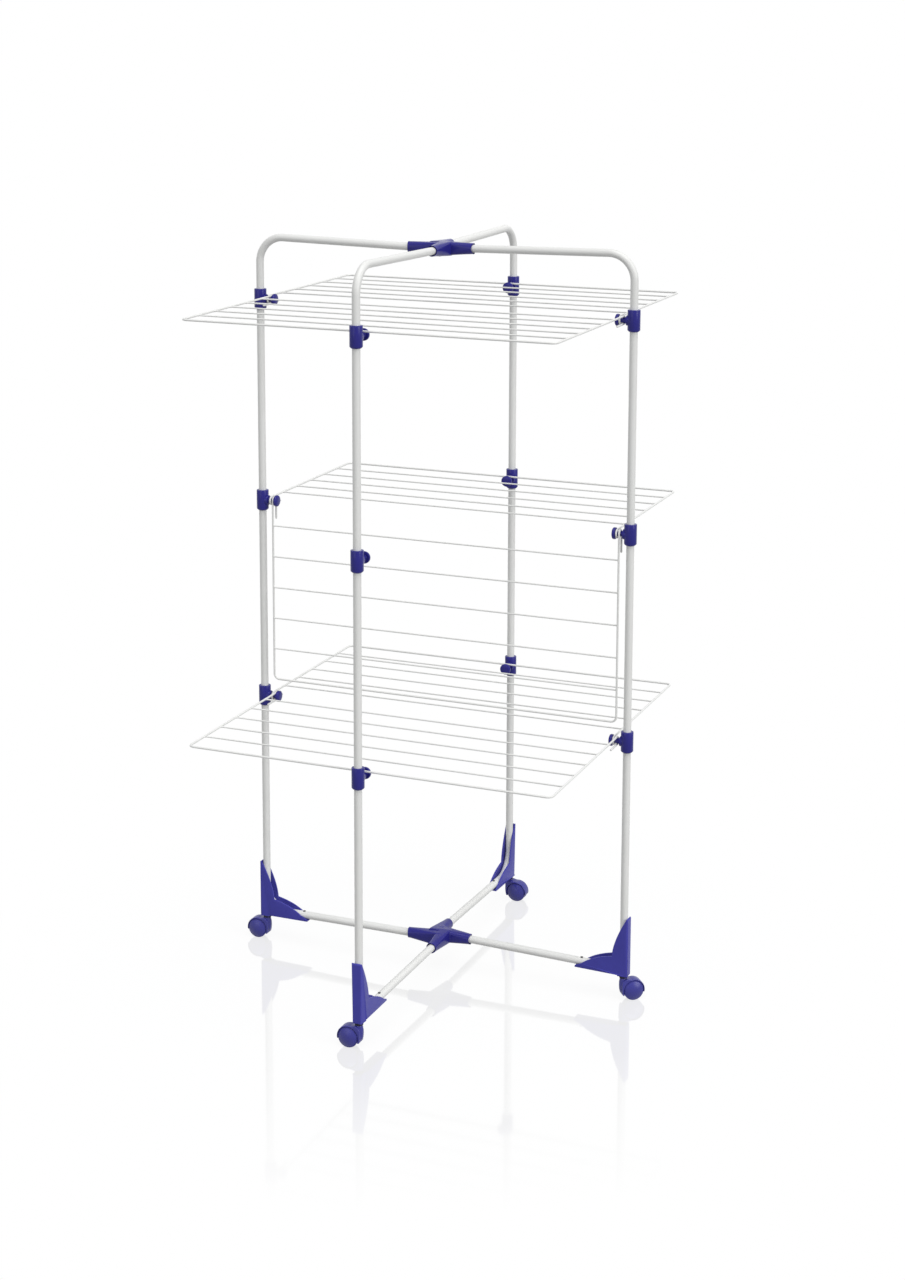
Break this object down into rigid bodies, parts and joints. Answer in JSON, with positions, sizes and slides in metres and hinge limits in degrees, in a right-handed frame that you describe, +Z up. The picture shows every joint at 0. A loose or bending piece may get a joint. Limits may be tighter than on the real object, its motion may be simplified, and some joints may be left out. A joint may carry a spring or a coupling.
{
  "type": "tower clothes airer",
  "caption": "Free-standing tower clothes airer: crossed tube frames on swivelling twin-wheel castors, with folding wire wings hooked onto plastic clips at several levels.",
  "frame": {"origin": "on the floor, under the tower's centre line", "axes": "+X from the left leg to the right leg along the wings' hinge line, +Y from the front leg to the back leg, +Z up"},
  "size_m": [0.8503, 0.797, 1.4586],
  "materials": {
    "tube_coat": "white powder coat on steel tube",
    "wire_coat": "white plastic coating on steel wire",
    "blue_plastic": "fine-textured moulded plastic, blue-violet",
    "castor_plastic": "satin moulded plastic, blue-violet",
    "stem_plastic": "black moulded plastic",
    "pin_plastic": "dark moulded plastic",
    "steel": "plain steel"
  },
  "bodies": {
    "frame": {"lower_tube_left": "tube_coat", "upper_tube_left": "tube_coat", "foot_left": "blue_plastic", "foot_pin_left": "pin_plastic", "castor_stem_left": "stem_plastic", "lower_tube_front": "tube_coat", "upper_tube_front": "tube_coat", "foot_front": "blue_plastic", "foot_pin_front": "pin_plastic", "castor_stem_front": "stem_plastic", "lower_tube_right": "tube_coat", "upper_tube_right": "tube_coat", "foot_right": "blue_plastic", "foot_pin_right": "pin_plastic", "castor_stem_right": "stem_plastic", "lower_tube_back": "tube_coat", "upper_tube_back": "tube_coat", "foot_back": "blue_plastic", "foot_pin_back": "pin_plastic", "castor_stem_back": "stem_plastic", "hub_bottom": "blue_plastic", "hub_top": "blue_plastic", "clip_bottom_left": "blue_plastic", "clip_bottom_front": "blue_plastic", "clip_bottom_right": "blue_plastic", "clip_bottom_back": "blue_plastic", "clip_middle_left": "blue_plastic", "clip_middle_front": "blue_plastic", "clip_middle_right": "blue_plastic", "clip_middle_back": "blue_plastic", "clip_top_left": "blue_plastic", "clip_top_front": "blue_plastic", "clip_top_right": "blue_plastic", "clip_top_back": "blue_plastic"},
    "wing_bottom_front_body": {"wing_bottom_front": "wire_coat"},
    "wing_bottom_back_body": {"wing_bottom_back": "wire_coat"},
    "wing_middle_front_body": {"wing_middle_front": "wire_coat"},
    "wing_middle_back_body": {"wing_middle_back": "wire_coat"},
    "wing_top_front_body": {"wing_top_front": "wire_coat"},
    "wing_top_back_body": {"wing_top_back": "wire_coat"},
    "castor_left": {"castor_body_left": "castor_plastic", "castor_axle_left": "steel"},
    "wheel_left_a_body": {"wheel_left_a": "castor_plastic"},
    "wheel_left_b_body": {"wheel_left_b": "castor_plastic"},
    "castor_front": {"castor_body_front": "castor_plastic", "castor_axle_front": "steel"},
    "wheel_front_a_body": {"wheel_front_a": "castor_plastic"},
    "wheel_front_b_body": {"wheel_front_b": "castor_plastic"},
    "castor_right": {"castor_body_right": "castor_plastic", "castor_axle_right": "steel"},
    "wheel_right_a_body": {"wheel_right_a": "castor_plastic"},
    "wheel_right_b_body": {"wheel_right_b": "castor_plastic"},
    "castor_back": {"castor_body_back": "castor_plastic", "castor_axle_back": "steel"},
    "wheel_back_a_body": {"wheel_back_a": "castor_plastic"},
    "wheel_back_b_body": {"wheel_back_b": "castor_plastic"}
  },
  "joints": [
    {"name": "wing_bottom_front_hinge", "type": "hinge", "parent": "frame", "child": "wing_bottom_front_body", "pos_m": [0, 0, 0.52], "axis": [1, 0, 0], "range_deg": [-10, 90]},
    {"name": "wing_bottom_back_hinge", "type": "hinge", "parent": "frame", "child": "wing_bottom_back_body", "pos_m": [0, 0, 0.52], "axis": [-1, 0, 0], "range_deg": [-10, 90]},
    {"name": "wing_middle_front_hinge", "type": "hinge", "parent": "frame", "child": "wing_middle_front_body", "pos_m": [0, 0, 0.924], "axis": [1, 0, 0], "range_deg": [-90, 0]},
    {"name": "wing_middle_back_hinge", "type": "hinge", "parent": "frame", "child": "wing_middle_back_body", "pos_m": [0, 0, 0.924], "axis": [-1, 0, 0], "range_deg": [-10, 90]},
    {"name": "wing_top_front_hinge", "type": "hinge", "parent": "frame", "child": "wing_top_front_body", "pos_m": [0, 0, 1.328], "axis": [1, 0, 0], "range_deg": [-10, 90]},
    {"name": "wing_top_back_hinge", "type": "hinge", "parent": "frame", "child": "wing_top_back_body", "pos_m": [0, 0, 1.328], "axis": [-1, 0, 0], "range_deg": [-10, 90]},
    {"name": "castor_left_swivel", "type": "hinge", "parent": "frame", "child": "castor_left", "pos_m": [-0.385, 0, 0.0462], "axis": [0, 0, 1], "continuous": true},
    {"name": "wheel_left_a_spin", "type": "hinge", "parent": "castor_left", "child": "wheel_left_a_body", "pos_m": [-0.4042, 0, 0.02], "axis": [0, -1, 0], "continuous": true},
    {"name": "wheel_left_b_spin", "type": "hinge", "parent": "castor_left", "child": "wheel_left_b_body", "pos_m": [-0.4042, 0, 0.02], "axis": [0, -1, 0], "continuous": true},
    {"name": "castor_front_swivel", "type": "hinge", "parent": "frame", "child": "castor_front", "pos_m": [0, -0.385, 0.0462], "axis": [0, 0, 1], "continuous": true},
    {"name": "wheel_front_a_spin", "type": "hinge", "parent": "castor_front", "child": "wheel_front_a_body", "pos_m": [-0.0192, -0.385, 0.02], "axis": [0, -1, 0], "continuous": true},
    {"name": "wheel_front_b_spin", "type": "hinge", "parent": "castor_front", "child": "wheel_front_b_body", "pos_m": [-0.0192, -0.385, 0.02], "axis": [0, -1, 0], "continuous": true},
    {"name": "castor_right_swivel", "type": "hinge", "parent": "frame", "child": "castor_right", "pos_m": [0.385, 0, 0.0462], "axis": [0, 0, 1], "continuous": true},
    {"name": "wheel_right_a_spin", "type": "hinge", "parent": "castor_right", "child": "wheel_right_a_body", "pos_m": [0.40013, 0.01182, 0.02], "axis": [-0.6157, 0.7879, 0], "continuous": true},
    {"name": "wheel_right_b_spin", "type": "hinge", "parent": "castor_right", "child": "wheel_right_b_body", "pos_m": [0.40013, 0.01182, 0.02], "axis": [-0.6157, 0.7879, 0], "continuous": true},
    {"name": "castor_back_swivel", "type": "hinge", "parent": "frame", "child": "castor_back", "pos_m": [0, 0.385, 0.0462], "axis": [0, 0, 1], "continuous": true},
    {"name": "wheel_back_a_spin", "type": "hinge", "parent": "castor_back", "child": "wheel_back_a_body", "pos_m": [0.0192, 0.385, 0.02], "axis": [0, 1, 0], "continuous": true},
    {"name": "wheel_back_b_spin", "type": "hinge", "parent": "castor_back", "child": "wheel_back_b_body", "pos_m": [0.0192, 0.385, 0.02], "axis": [0, 1, 0], "continuous": true}
  ]
}
